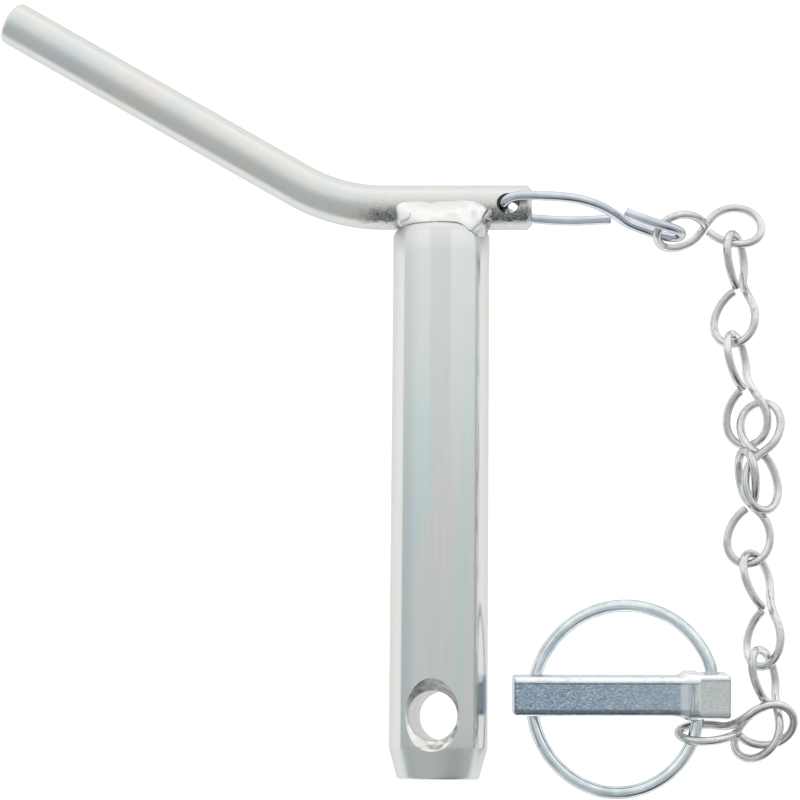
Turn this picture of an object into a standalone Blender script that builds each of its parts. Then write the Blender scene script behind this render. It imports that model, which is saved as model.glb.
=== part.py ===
"""Top link pin: a turned shank with a cross-drilled tip, a bent round-bar
handle welded across its top, a wire connector link through the handle's eye,
eight knotted wire chain links, and a linch pin on a sprung ring.

The assembly lies on a flat surface.  Origin at the centre of the shank's flat
tip face; the shank runs along +Y toward the handle; +Z is up.
"""
import math

import bmesh
import bpy
from mathutils import Euler, Matrix, Vector

MM = 0.001

# ---- shank ----------------------------------------------------------------
SHANK_D = 25.4            # category 2 top link pin
SHANK_LENGTH = 143.1      # tip face to top face
TIP_CONE_LENGTH = 8.0
TIP_FACE_D = 20.9
RIM_CHAMFER = 1.8          # along the shank
RIM_DEPTH = 0.85           # inward
CROSS_HOLE_D = 12.6
CROSS_HOLE_AT = 16.0      # from the tip face
CROSS_HOLE_TILT = 7.7     # degrees, drilled off square to the table
COUNTERSINK_HALF_ANGLE = 50.0
COUNTERSINK_FLAT = 10.14  # from the axis, where the plain bore starts

# ---- handle ---------------------------------------------------------------
BAR_D = 11.8
BAR_AXIS_Y = 149.5
BAR_ROLL = 3.3            # degrees about Y: the long arm's tip rests low
SHORT_ARM_SLOPE = 0.0098  # short arm, fall of y with x
SHORT_END = 23.9          # x of the short end face
BEND_VERTEX = -27.6
BEND_ANGLE = 29.7
BEND_RADIUS = 47.0
LONG_ARM = 105.0          # bend vertex to tip
EYE_D = 5.5
EYE_AT = 17.8

# ---- connector link -------------------------------------------------------
CONNECTOR_WIRE_D = 2.5

# ---- chain ----------------------------------------------------------------
CHAIN_WIRE_D = 2.16
LOOP_LENGTH = 15.0
LOOP_WIDTH = 11.2
LOOP_FULLNESS = 0.38
LOOP_START = 3.6          # axial start of each loop from the waist
LOOP_END_GAP = 0.62       # where the cut wire end stops
WAIST_TENSION = 0.85

# ---- linch pin and ring ---------------------------------------------------
RING_WIRE_D = 3.2
RING_CENTRE = (48.14, 20.82, -8.7)
RING_RADIUS = 24.05
RING_TILT = 5.4
RING_FROM, RING_TO = 17.3, 345.2
PIN_TIP = (19.35, 21.49, -4.0)
PIN_YAW = 0.5
PIN_PITCH = 3.0
PIN_ROLL = 7.0
HINGE_HOLE_D = 3.9
STUB = 3.5


# ---- helpers --------------------------------------------------------------
def clear_scene():
    for obj in list(bpy.data.objects):
        bpy.data.objects.remove(obj, do_unlink=True)
    for col in list(bpy.data.collections):
        bpy.data.collections.remove(col)


clear_scene()
PARTS = bpy.data.collections.new("top_link_pin")
CUTTERS = bpy.data.collections.new("cutters")
JOINTS = bpy.data.collections.new("hinge_points")
for _col in (PARTS, CUTTERS, JOINTS):
    bpy.context.scene.collection.children.link(_col)


def material(name, rgb, metallic, roughness):
    mat = bpy.data.materials.new(name)
    mat.use_nodes = True
    bsdf = mat.node_tree.nodes["Principled BSDF"]
    bsdf.inputs["Base Color"].default_value = (*rgb, 1.0)
    bsdf.inputs["Metallic"].default_value = metallic
    bsdf.inputs["Roughness"].default_value = roughness
    return mat


def add_part(name, data, mat, location=(0, 0, 0), rotation=(0, 0, 0), parent=None):
    """Link data as a part; location in mm and rotation in degrees are world values."""
    obj = bpy.data.objects.new(name, data)
    PARTS.objects.link(obj)
    place(obj, location, rotation, parent)
    data.materials.clear()
    data.materials.append(mat)
    return obj


def place(obj, location, rotation, parent=None):
    loc = Vector(location) * MM
    if parent is not None:
        obj.parent = parent
        loc = loc - JOINT_AT[parent.name] * MM
    obj.location = loc
    obj.rotation_euler = Euler([math.radians(a) for a in rotation], "XYZ")


def cutter(obj):
    for col in list(obj.users_collection):
        col.objects.unlink(obj)
    CUTTERS.objects.link(obj)
    obj.hide_render = True
    obj.display_type = "WIRE"
    return obj


def boolean(obj, other, operation="DIFFERENCE"):
    mod = obj.modifiers.new("bool_" + other.name, "BOOLEAN")
    mod.operation = operation
    mod.solver = "EXACT"
    mod.object = other
    return mod


def turned_mesh(name, profile, steps):
    """Profile of (radius, height) in mm from the top axis point down to the bottom one."""
    mesh = bpy.data.meshes.new(name)
    mesh.from_pydata([(r * MM, 0, z * MM) for r, z in profile],
                     [(i, i + 1) for i in range(len(profile) - 1)], [])
    obj = bpy.data.objects.new(name + "_profile", mesh)
    bpy.context.scene.collection.objects.link(obj)
    mod = obj.modifiers.new("turn", "SCREW")
    mod.axis = "Z"
    mod.steps = steps
    mod.render_steps = steps
    mod.use_merge_vertices = True
    mod.merge_threshold = 0.00001
    mod.use_normal_calculate = True
    out = baked(obj, name)
    bpy.data.objects.remove(obj, do_unlink=True)
    return out


def baked(obj, name):
    """Evaluated mesh of an object, welded into one closed surface."""
    bpy.context.view_layer.update()
    graph = bpy.context.evaluated_depsgraph_get()
    mesh = bpy.data.meshes.new_from_object(obj.evaluated_get(graph))
    mesh.name = name
    bm = bmesh.new()
    bm.from_mesh(mesh)
    bmesh.ops.remove_doubles(bm, verts=bm.verts, dist=0.000002)
    bmesh.ops.recalc_face_normals(bm, faces=bm.faces)
    bm.to_mesh(mesh)
    bm.free()
    return mesh


def smooth(obj, angle=35.0):
    obj.data.shade_smooth()
    obj.data.set_sharp_from_angle(angle=math.radians(angle))
    return obj


def wire_curve(name, points, diameter, resolution=2, radii=None):
    curve = bpy.data.curves.new(name, "CURVE")
    curve.dimensions = "3D"
    curve.bevel_depth = diameter / 2 * MM
    curve.bevel_resolution = resolution
    curve.use_fill_caps = True
    spline = curve.splines.new("POLY")
    spline.points.add(len(points) - 1)
    for i, p in enumerate(points):
        spline.points[i].co = (p[0] * MM, p[1] * MM, p[2] * MM, 1.0)
        spline.points[i].radius = 1.0 if radii is None else radii[i]
    spline.use_smooth = True
    return curve


def resample(points, count):
    """Evenly spaced points along a polyline."""
    pts = [Vector(p) for p in points]
    run = [0.0]
    for a, b in zip(pts, pts[1:]):
        run.append(run[-1] + (b - a).length)
    out, k = [], 0
    for i in range(count):
        s = run[-1] * i / (count - 1)
        while k < len(pts) - 2 and run[k + 1] < s:
            k += 1
        t = (s - run[k]) / max(run[k + 1] - run[k], 1e-9)
        out.append(pts[k].lerp(pts[k + 1], min(max(t, 0.0), 1.0)))
    return out


def spline_through(points, per_span=8):
    """Catmull-Rom curve through the points."""
    p = [Vector(q) for q in points]
    p = [p[0] * 2 - p[1]] + p + [p[-1] * 2 - p[-2]]
    out = []
    for i in range(1, len(p) - 2):
        a, b, c, d = p[i - 1:i + 3]
        for k in range(per_span):
            u = k / per_span
            out.append(0.5 * (2 * b + (c - a) * u + (2 * a - 5 * b + 4 * c - d) * u ** 2
                              + (3 * b - a - 3 * c + d) * u ** 3))
    out.append(p[-2])
    return out


def loft(name, sections):
    """Closed body through rings of equal point count, capped at both ends."""
    bm = bmesh.new()
    rings = [[bm.verts.new(Vector(p) * MM) for p in ring] for ring in sections]
    n = len(rings[0])
    for a, b in zip(rings, rings[1:]):
        for i in range(n):
            j = (i + 1) % n
            bm.faces.new((a[i], a[j], b[j], b[i]))
    bm.faces.new(list(reversed(rings[0])))
    bm.faces.new(rings[-1])
    bmesh.ops.recalc_face_normals(bm, faces=bm.faces)
    mesh = bpy.data.meshes.new(name)
    bm.to_mesh(mesh)
    bm.free()
    return mesh


def superellipse(a, b, exponent, count):
    out = []
    for i in range(count):
        t = 2 * math.pi * i / count
        c, s = math.cos(t), math.sin(t)
        out.append((math.copysign(abs(c) ** (2 / exponent), c) * a,
                    math.copysign(abs(s) ** (2 / exponent), s) * b))
    return out


def rounded_rectangle(width, height, radius, per_corner=5):
    out = []
    for q, (sx, sy) in enumerate(((1, 1), (-1, 1), (-1, -1), (1, -1))):
        cx, cy = sx * (width / 2 - radius), sy * (height / 2 - radius)
        for k in range(per_corner):
            t = math.radians(90 * (q + k / (per_corner - 1)))
            out.append((cx + radius * math.cos(t), cy + radius * math.sin(t)))
    return out


# ---- hinge points (mm, world) ---------------------------------------------
JOINT_AT = {}


def hinge_point(name, at, parent=None):
    empty = bpy.data.objects.new(name, None)
    empty.empty_display_size = 0.004
    JOINTS.objects.link(empty)
    JOINT_AT[name] = Vector(at)
    if parent is not None:
        empty.parent = parent
        empty.location = (Vector(at) - JOINT_AT[parent.name]) * MM
    else:
        empty.location = Vector(at) * MM
    return empty


EYE_POINT = (17.75, 149.3, 0.9)
LINK_HINGES = [
    (58.7, 145.7, 0.2), (77.6, 141.7, -7.0), (78.3, 114.4, -5.5), (85.2, 98.1, -6.6),
    (81.4, 82.6, -2.6), (83.8, 57.3, -7.3), (84.4, 29.5, -6.4), (86.1, 8.7, -6.2),
]
H_CONNECTOR = hinge_point("hinge_connector", EYE_POINT)
H_LINK = []
for _i, _at in enumerate(LINK_HINGES):
    H_LINK.append(hinge_point("hinge_link_%d" % (_i + 1), _at, H_LINK[-1] if H_LINK else H_CONNECTOR))
H_RING = hinge_point("hinge_ring", (65.7, 10.0, -7.0), H_LINK[-1])
H_PIN = hinge_point("hinge_linch_pin", (69.09, 21.88, -6.72), H_RING)

# ---- materials ------------------------------------------------------------
ZINC_BRIGHT = material("zinc_bright_shank", (0.80, 0.81, 0.82), 1.0, 0.26)
ZINC_HANDLE = material("zinc_handle", (0.74, 0.76, 0.77), 1.0, 0.34)
WELD_METAL = material("weld_metal", (0.86, 0.86, 0.85), 1.0, 0.38)
WELD_REAR = material("weld_metal_rear", (0.84, 0.84, 0.83), 1.0, 0.40)
CONNECTOR_METAL = material("zinc_connector", (0.72, 0.75, 0.79), 1.0, 0.28)
RING_METAL = material("zinc_ring", (0.72, 0.77, 0.82), 1.0, 0.24)
PIN_METAL = material("zinc_linch_pin", (0.62, 0.68, 0.76), 1.0, 0.36)


# ---- shank ----------------------------------------------------------------
def build_shank():
    r, top = SHANK_D / 2, SHANK_LENGTH
    profile = [(0, top), (r - RIM_DEPTH, top), (r, top - RIM_CHAMFER),
               (r, TIP_CONE_LENGTH), (TIP_FACE_D / 2, 0), (0, 0)]
    shank = add_part("pin_shank", turned_mesh("pin_shank", profile, 72),
                     ZINC_BRIGHT, rotation=(-90, 0, 0))
    # cross hole with a countersink at both mouths, turned in one profile
    b = CROSS_HOLE_D / 2
    reach = 20.0
    flare = b + (reach - COUNTERSINK_FLAT) * math.tan(math.radians(COUNTERSINK_HALF_ANGLE))
    hole = [(0, reach), (flare, reach), (b, COUNTERSINK_FLAT),
            (b, -COUNTERSINK_FLAT), (flare, -reach), (0, -reach)]
    drill = bpy.data.objects.new("cross_hole", turned_mesh("cross_hole", hole, 48))
    PARTS.objects.link(drill)
    place(drill, (0, CROSS_HOLE_AT, 0), (0, -CROSS_HOLE_TILT, 0))
    cutter(drill)
    boolean(shank, drill)
    return smooth(shank)


SHANK = build_shank()


# ---- handle ---------------------------------------------------------------
def handle_axis():
    """Centreline in the handle's own plane, x along the bar and y across it."""
    slope = math.atan(SHORT_ARM_SLOPE)
    bend = math.radians(BEND_ANGLE)
    tangent = BEND_RADIUS * math.tan(bend / 2)
    u = Vector((-math.cos(slope), math.sin(slope)))          # along the bar toward the bend
    vertex = Vector((BEND_VERTEX, -BEND_VERTEX * SHORT_ARM_SLOPE))
    start = Vector((SHORT_END, -SHORT_END * SHORT_ARM_SLOPE))
    v = Matrix.Rotation(-bend, 2) @ u                        # along the long arm
    n = Vector((-u.y, u.x))
    if n.dot(v) < 0:
        n = -n
    centre = vertex - u * tangent + n * BEND_RADIUS
    arc = []
    for k in range(11):
        a = bend * k / 10
        arc.append(centre - n * (BEND_RADIUS * math.cos(a)) + u * (BEND_RADIUS * math.sin(a)))
    tip = vertex + v * LONG_ARM
    chamfer = 1.2
    dome = [(1.5, 0.985), (0.75, 0.86), (0.25, 0.66), (0.0, 0.42)]
    pts = [start, start + u * chamfer]
    radii = [(BAR_D / 2 - 1.3) / (BAR_D / 2), 1.0]
    pts += [start + u * 12.0] + arc + [vertex + v * (LONG_ARM * 0.6)]
    radii += [1.0] * (len(pts) - len(radii))
    pts.append(tip - v * 3.0)
    radii.append(1.0)
    for back, scale in dome:
        pts.append(tip - v * back)
        radii.append(scale)
    return [(p.x, p.y, 0.0) for p in pts], radii


def build_handle():
    points, radii = handle_axis()
    curve = wire_curve("handle_curve", points, BAR_D, 10, radii)
    temp = bpy.data.objects.new("handle_curve", curve)
    PARTS.objects.link(temp)
    mesh = baked(temp, "handle_bar")
    bpy.data.objects.remove(temp, do_unlink=True)
    handle = add_part("handle_bar", mesh, ZINC_HANDLE,
                      (0, BAR_AXIS_Y, 0), (0, -BAR_ROLL, 0))
    bpy.ops.mesh.primitive_cylinder_add(vertices=32, radius=EYE_D / 2 * MM, depth=20 * MM)
    eye = bpy.context.object
    eye.name = "handle_eye"
    roll = math.radians(BAR_ROLL)
    place(eye, (EYE_AT * math.cos(roll), BAR_AXIS_Y - EYE_AT * SHORT_ARM_SLOPE,
                EYE_AT * math.sin(roll)), (0, -BAR_ROLL, 0))
    cutter(eye)
    boolean(handle, eye)
    return smooth(handle)


HANDLE = build_handle()


# ---- weld beads -----------------------------------------------------------
def bead_sections(side, reach, lift, half_y, half_r, start, stop, centre_y):
    """Rings along an arc inside the shank's rim.  Each one leans down from the
    rim to the bar's crest, and the row is flattened toward both ends."""
    sections = []
    stations = 15
    for k in range(stations):
        u = k / (stations - 1)
        phi = math.radians(start + (stop - start) * u)
        swell = (1 - abs(2 * u - 1) ** 4) ** 0.5
        if k in (0, stations - 1):
            swell = 0.22
        a, b = half_y * (0.45 + 0.55 * swell), half_r * (0.35 + 0.65 * swell)
        centre = Vector((reach * math.cos(phi), centre_y, side * (lift + reach * 0.72 * math.sin(phi))))
        out = Vector((0.55 * math.cos(phi), 0, side * math.sin(phi))).normalized()
        tilt = math.radians(42 * math.sin(phi))
        along = Vector((0, math.cos(tilt), 0)) - out * math.sin(tilt)
        up = out * math.cos(tilt) + Vector((0, math.sin(tilt), 0))
        sections.append([centre + along * p + up * q for p, q in superellipse(a, b, 2.3, 20)])
    return sections


def build_bead(name, mat, clear_shank, clear_bar, **shape):
    bead = add_part(name, loft(name, bead_sections(**shape)), mat)
    boolean(bead, clear_shank)
    boolean(bead, clear_bar)
    return smooth(bead, 40)


def build_beads():
    gap = 0.3
    r, top = SHANK_D / 2 + gap, SHANK_LENGTH + gap
    profile = [(0, top), (r - RIM_DEPTH, top), (r, top - RIM_CHAMFER), (r, 110), (0, 110)]
    keep_shank = bpy.data.objects.new("shank_clearance", turned_mesh("shank_clearance", profile, 72))
    PARTS.objects.link(keep_shank)
    place(keep_shank, (0, 0, 0), (-90, 0, 0))
    cutter(keep_shank)
    bpy.ops.mesh.primitive_cylinder_add(vertices=48, radius=(BAR_D / 2 + gap + 0.05) * MM, depth=44 * MM)
    keep_bar = bpy.context.object
    keep_bar.name = "bar_clearance"
    keep_bar.data.transform(Matrix.Rotation(math.radians(90), 4, "Y"))
    place(keep_bar, (0, BAR_AXIS_Y, 0), (0, -BAR_ROLL, -math.degrees(SHORT_ARM_SLOPE)))
    cutter(keep_bar)
    build_bead("weld_bead", WELD_METAL, keep_shank, keep_bar, side=1, reach=11.6, lift=0.3,
               half_y=5.0, half_r=2.1, start=163, stop=20, centre_y=146.5)
    build_bead("weld_bead_rear", WELD_REAR, keep_shank, keep_bar, side=-1, reach=10.2, lift=0.6,
               half_y=4.5, half_r=1.9, start=160, stop=20, centre_y=146.3)


build_beads()


# ---- connector link -------------------------------------------------------
def connector_route():
    """Hand-laid route: front cut end, round the chain loop, over the bar,
    down through the eye, and back under the bar to the rear cut end."""
    roll = math.radians(BAR_ROLL)
    eye = Vector((EYE_AT * math.cos(roll), BAR_AXIS_Y - EYE_AT * SHORT_ARM_SLOPE, EYE_AT * math.sin(roll)))
    down = Vector((math.sin(roll), 0, -math.cos(roll)))
    wall = Vector((-1.18 * math.cos(roll), -0.25, -1.18 * math.sin(roll)))
    front = [(48.6, 148.1, 1.6), (52.5, 146.4, 2.5), (55.9, 145.1, 2.7), (58.6, 144.4, 2.4)]
    turn = [(61.0, 143.9, 1.4), (62.9, 143.5, -0.3), (63.7, 143.2, -2.4), (63.4, 142.9, -4.3),
            (62.1, 143.0, -5.9), (59.1, 143.5, -6.6), (55.8, 144.5, -6.2)]
    rise = [(49.6, 146.1, -3.2), (46.6, 147.5, -0.6), (43.3, 148.8, 2.4), (39.8, 149.7, 5.0),
            (35.4, 150.4, 7.2), (30.9, 150.7, 8.3), (24.3, 150.8, 9.0), (21.0, 150.8, 9.0),
            (18.5, 150.5, 8.6), (17.0, 150.0, 7.4)]
    through = [eye + wall + down * d for d in (-5.6, -3.0, 0.0, 2.6)]
    under = [(18.1, 149.2, -5.2), (19.5, 148.7, -6.6), (21.5, 148.5, -7.1), (24.2, 148.3, -7.2),
             (27.7, 147.9, -7.0), (35.6, 147.4, -6.0), (42.7, 147.4, -4.4), (45.1, 147.4, -4.0)]
    return front + turn + rise + through + under


def build_connector():
    points = resample(spline_through(connector_route(), 10), 64)
    origin = Vector(EYE_POINT)
    local = [p - origin for p in points]
    return add_part("connector_link", wire_curve("connector_link", local, CONNECTOR_WIRE_D, 2),
                    CONNECTOR_METAL, origin, (0, 0, 0), H_CONNECTOR)


CONNECTOR = build_connector()


# ---- chain links ----------------------------------------------------------
def half_loop(count=48):
    """One teardrop loop: axial reach and lateral offset from the waist."""
    m = LOOP_FULLNESS
    k = (1 + m) / (2 + m)
    widest = 2 * k ** ((1 + m) / 2) * math.sqrt(1 - k)
    scale = LOOP_WIDTH / 2 / widest
    first = 2 * math.asin(math.sqrt(LOOP_END_GAP / LOOP_LENGTH))
    last = 2 * math.pi - 2 * math.asin(math.sqrt(LOOP_START / LOOP_LENGTH))
    out = []
    for i in range(count):
        p = first + (last - first) * i / (count - 1)
        out.append((LOOP_LENGTH * math.sin(p / 2) ** 2,
                    -scale * math.sin(p) * math.sin(p / 2) ** m))
    return out


def link_points(twist, bend, count):
    """Knotted link: two loops in twisted planes joined by the waist strand."""
    t, b = math.radians(twist) / 2, math.radians(bend)
    loop = half_loop()
    one = [Vector((w * math.cos(t), a * math.cos(b), w * math.sin(t) - a * math.sin(b))) for a, w in loop]
    two = [Vector((-w * math.cos(t), -a * math.cos(b), w * math.sin(t) - a * math.sin(b)))
           for a, w in reversed(loop)]
    p0, p1 = one[-1], two[0]
    t0, t1 = (one[-1] - one[-2]).normalized(), (two[1] - two[0]).normalized()
    d = (p1 - p0).length * WAIST_TENSION
    strand = []
    for i in range(1, 13):
        u = i / 13
        strand.append((2 * u ** 3 - 3 * u ** 2 + 1) * p0 + (u ** 3 - 2 * u ** 2 + u) * d * t0
                      + (3 * u ** 2 - 2 * u ** 3) * p1 + (u ** 3 - u ** 2) * d * t1)
    return resample(one + strand + two, count)


# location (mm), rotation (degrees), twist between the loops, bend at the waist
LINKS = [
    ((70.7, 145.9, -7.8), (-165, -17, 94), 68, 9),
    ((79.0, 129.1, -6.87), (-176, 72, -178), 95, 6),
    ((80.4, 102.5, -7.55), (146, 68, 158), 96, 5),
    ((84.4, 84.9, -4.8), (-12, 3, -2), 61, 7),
    ((81.6, 71.1, -7.4), (171, 38, 176), 74, 9),
    ((85.1, 44.4, -7.2), (-141, 88, -136), 84, 9),
    ((86.2, 19.5, -7.9), (141, 75, 136), 94, 19),
    ((77.2, 12.7, -5.9), (-176, 69, -79), 87, -5),
]


def build_links():
    out = []
    for i, (at, turn, twist, bend) in enumerate(LINKS):
        name = "chain_link_%d" % (i + 1)
        shade = 0.72 + 0.01 * (i % 3)
        mat = material("zinc_" + name, (shade, shade - 0.005, shade - 0.02), 1.0, 0.30)
        out.append(add_part(name, wire_curve(name, link_points(twist, bend, 36), CHAIN_WIRE_D, 2),
                            mat, at, turn, H_LINK[i]))
    return out


build_links()


# ---- ring -----------------------------------------------------------------
def ring_radius(deg):
    pull_in = 3.9 * max(0.0, (deg - 255.0) / 90.0) ** 1.45
    return RING_RADIUS + 0.45 * math.cos(math.radians(2 * deg - 120)) - pull_in


def ring_point(deg):
    r, a = ring_radius(deg), math.radians(deg)
    return Vector((r * math.cos(a), r * math.sin(a), 0))


def ring_points(count=58):
    start, end = ring_point(RING_FROM), ring_point(RING_TO)
    inward = (end - start).normalized()
    ease = 2.2
    arc = [ring_point(RING_FROM + ease + (RING_TO - RING_FROM - 2 * ease) * i / (count - 1))
           for i in range(count)]
    first = [start + inward * STUB, start + inward * 0.9]
    last = [end - inward * 0.9, end - inward * STUB]
    return first + arc + last


RING = add_part("linch_ring", wire_curve("linch_ring", ring_points(), RING_WIRE_D, 2),
                RING_METAL, RING_CENTRE, (0, -RING_TILT, 0), H_RING)


def ring_to_world(p):
    return Matrix.Rotation(math.radians(-RING_TILT), 3, "Y") @ p + Vector(RING_CENTRE)


# ---- linch pin ------------------------------------------------------------
# distance from the tip, width, thickness, corner radius
PIN_SECTIONS = [
    (0.0, 9.3, 8.0, 1.0), (0.4, 10.1, 8.8, 1.3), (42.3, 10.1, 8.8, 1.3),
    (43.1, 10.3, 9.0, 1.4), (44.5, 12.0, 10.4, 2.2), (45.0, 12.4, 10.8, 2.4),
    (47.6, 12.4, 10.8, 2.4), (48.2, 11.5, 10.0, 1.1), (55.3, 11.5, 10.0, 1.1),
    (55.85, 10.6, 9.1, 1.0),
]


def build_linch_pin():
    sections = [[(x, p, q) for p, q in rounded_rectangle(w, h, r)] for x, w, h, r in PIN_SECTIONS]
    pin = add_part("linch_pin", loft("linch_pin", sections), PIN_METAL, PIN_TIP,
                   (PIN_ROLL, PIN_PITCH, PIN_YAW), H_PIN)
    upper, lower = ring_to_world(ring_point(RING_FROM)), ring_to_world(ring_point(RING_TO))
    mid, axis = (upper + lower) / 2, (upper - lower)
    half = axis.length / 2
    b, wide = HINGE_HOLE_D / 2, 2.95
    hole = [(0, half + 6), (wide, half + 6), (wide, half - 0.1), (b, half - 1.9),
            (b, 1.9 - half), (wide, 0.1 - half), (wide, -half - 6), (0, -half - 6)]
    drill = bpy.data.objects.new("hinge_hole", turned_mesh("hinge_hole", hole, 32))
    PARTS.objects.link(drill)
    drill.location = mid * MM
    drill.rotation_euler = axis.to_track_quat("Z", "Y").to_euler()
    cutter(drill)
    boolean(pin, drill)
    return smooth(pin, 30)


LINCH_PIN = build_linch_pin()
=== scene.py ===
"""Looks of the top link pin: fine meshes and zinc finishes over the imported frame."""

import math

import bmesh
import bpy
from mathutils import Euler, Matrix, Vector


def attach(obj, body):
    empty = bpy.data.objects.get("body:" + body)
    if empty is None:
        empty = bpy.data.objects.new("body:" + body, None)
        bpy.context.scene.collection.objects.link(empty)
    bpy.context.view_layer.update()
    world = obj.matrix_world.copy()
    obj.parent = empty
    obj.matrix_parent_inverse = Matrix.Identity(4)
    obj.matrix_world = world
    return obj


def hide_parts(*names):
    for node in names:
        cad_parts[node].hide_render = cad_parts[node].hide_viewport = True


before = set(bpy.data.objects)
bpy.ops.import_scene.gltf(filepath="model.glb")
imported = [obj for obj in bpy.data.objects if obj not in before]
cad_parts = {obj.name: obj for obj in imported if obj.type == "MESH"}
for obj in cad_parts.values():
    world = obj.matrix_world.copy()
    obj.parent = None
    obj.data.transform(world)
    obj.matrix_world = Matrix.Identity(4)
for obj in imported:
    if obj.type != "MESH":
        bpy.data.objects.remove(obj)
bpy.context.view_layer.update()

MM = 0.001
D = bpy.data
SCENE = bpy.context.scene


# ---------------------------------------------------------------- numbers (mm)
SHANK_R, SHANK_LENGTH = 12.7, 143.1
TIP_CONE, TIP_FACE_R, RIM, RIM_DEPTH = 8.0, 10.45, 1.8, 0.85
HOLE_R, HOLE_AT, HOLE_TILT = 6.3, 16.0, 7.7
SINK_ANGLE, SINK_FROM = 50.0, 10.14

BAR_R, BAR_Y, BAR_ROLL = 5.9, 149.5, 3.3
ARM_SLOPE, ARM_END = 0.0098, 23.9
BEND_AT, BEND_DEG, BEND_R, LONG_ARM = -27.6, 29.7, 47.0, 105.0
EYE_R, EYE_AT = 2.75, 17.8

CONNECTOR_R, CHAIN_R, RING_R = 1.25, 1.08, 1.6
LOOP_LENGTH, LOOP_WIDTH, LOOP_FULLNESS = 15.0, 11.2, 0.38
LOOP_START, LOOP_END_GAP, WAIST_TENSION = 3.6, 0.42, 0.85

LINKS = [
    ((70.7, 145.9, -7.8), (-165, -17, 94), 68, 9),
    ((79.0, 129.1, -6.87), (-176, 72, -178), 95, 6),
    ((80.4, 102.5, -7.55), (146, 68, 158), 96, 5),
    ((84.4, 84.9, -4.8), (-12, 3, -2), 61, 7),
    ((81.6, 71.1, -7.4), (171, 38, 176), 74, 9),
    ((85.1, 44.4, -7.2), (-141, 88, -136), 84, 9),
    ((86.2, 19.5, -7.9), (141, 75, 136), 94, 19),
    ((77.2, 12.7, -5.9), (-176, 69, -79), 87, -5),
]

RING_CENTRE, RING_RADIUS, RING_TILT = (48.14, 20.82, -8.7), 24.05, 5.4
RING_FROM, RING_TO, STUB = 17.3, 345.2, 3.5
PIN_TIP, PIN_TURN = (19.35, 21.49, -4.0), (7.0, 3.0, 0.5)
HINGE_R = 1.95
PIN_SECTIONS = [
    (0.0, 9.3, 8.0, 1.0), (0.4, 10.1, 8.8, 1.3), (42.3, 10.1, 8.8, 1.3),
    (43.1, 10.3, 9.0, 1.4), (44.5, 12.0, 10.4, 2.2), (45.0, 12.4, 10.8, 2.4),
    (47.6, 12.4, 10.8, 2.4), (48.2, 11.5, 10.0, 1.1), (55.3, 11.5, 10.0, 1.1),
    (55.85, 10.6, 9.1, 1.0),
]


# ---------------------------------------------------------------- mesh helpers
def new_object(name, mesh):
    obj = D.objects.new(name, mesh)
    SCENE.collection.objects.link(obj)
    return obj


def shade(obj, angle=30.0):
    obj.data.shade_smooth()
    obj.data.set_sharp_from_angle(angle=math.radians(angle))
    return obj


def resample(points, count):
    pts = [Vector(p) for p in points]
    run = [0.0]
    for a, b in zip(pts, pts[1:]):
        run.append(run[-1] + (b - a).length)
    out, k = [], 0
    for i in range(count):
        s = run[-1] * i / (count - 1)
        while k < len(pts) - 2 and run[k + 1] < s:
            k += 1
        t = (s - run[k]) / max(run[k + 1] - run[k], 1e-9)
        out.append(pts[k].lerp(pts[k + 1], min(max(t, 0.0), 1.0)))
    return out


def relaxed(points, rounds):
    """Evens out the small corners that resampling leaves, ends kept."""
    pts = [p.copy() for p in points]
    for _ in range(rounds):
        pts = [pts[0]] + [(a + b * 2 + c) / 4 for a, b, c in zip(pts, pts[1:], pts[2:])] + [pts[-1]]
    return pts


def spline_through(points, per_span=8):
    p = [Vector(q) for q in points]
    p = [p[0] * 2 - p[1]] + p + [p[-1] * 2 - p[-2]]
    out = []
    for i in range(1, len(p) - 2):
        a, b, c, d = p[i - 1:i + 3]
        for k in range(per_span):
            u = k / per_span
            out.append(0.5 * (2 * b + (c - a) * u + (2 * a - 5 * b + 4 * c - d) * u ** 2
                              + (3 * b - a - 3 * c + d) * u ** 3))
    out.append(p[-2])
    return out


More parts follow.
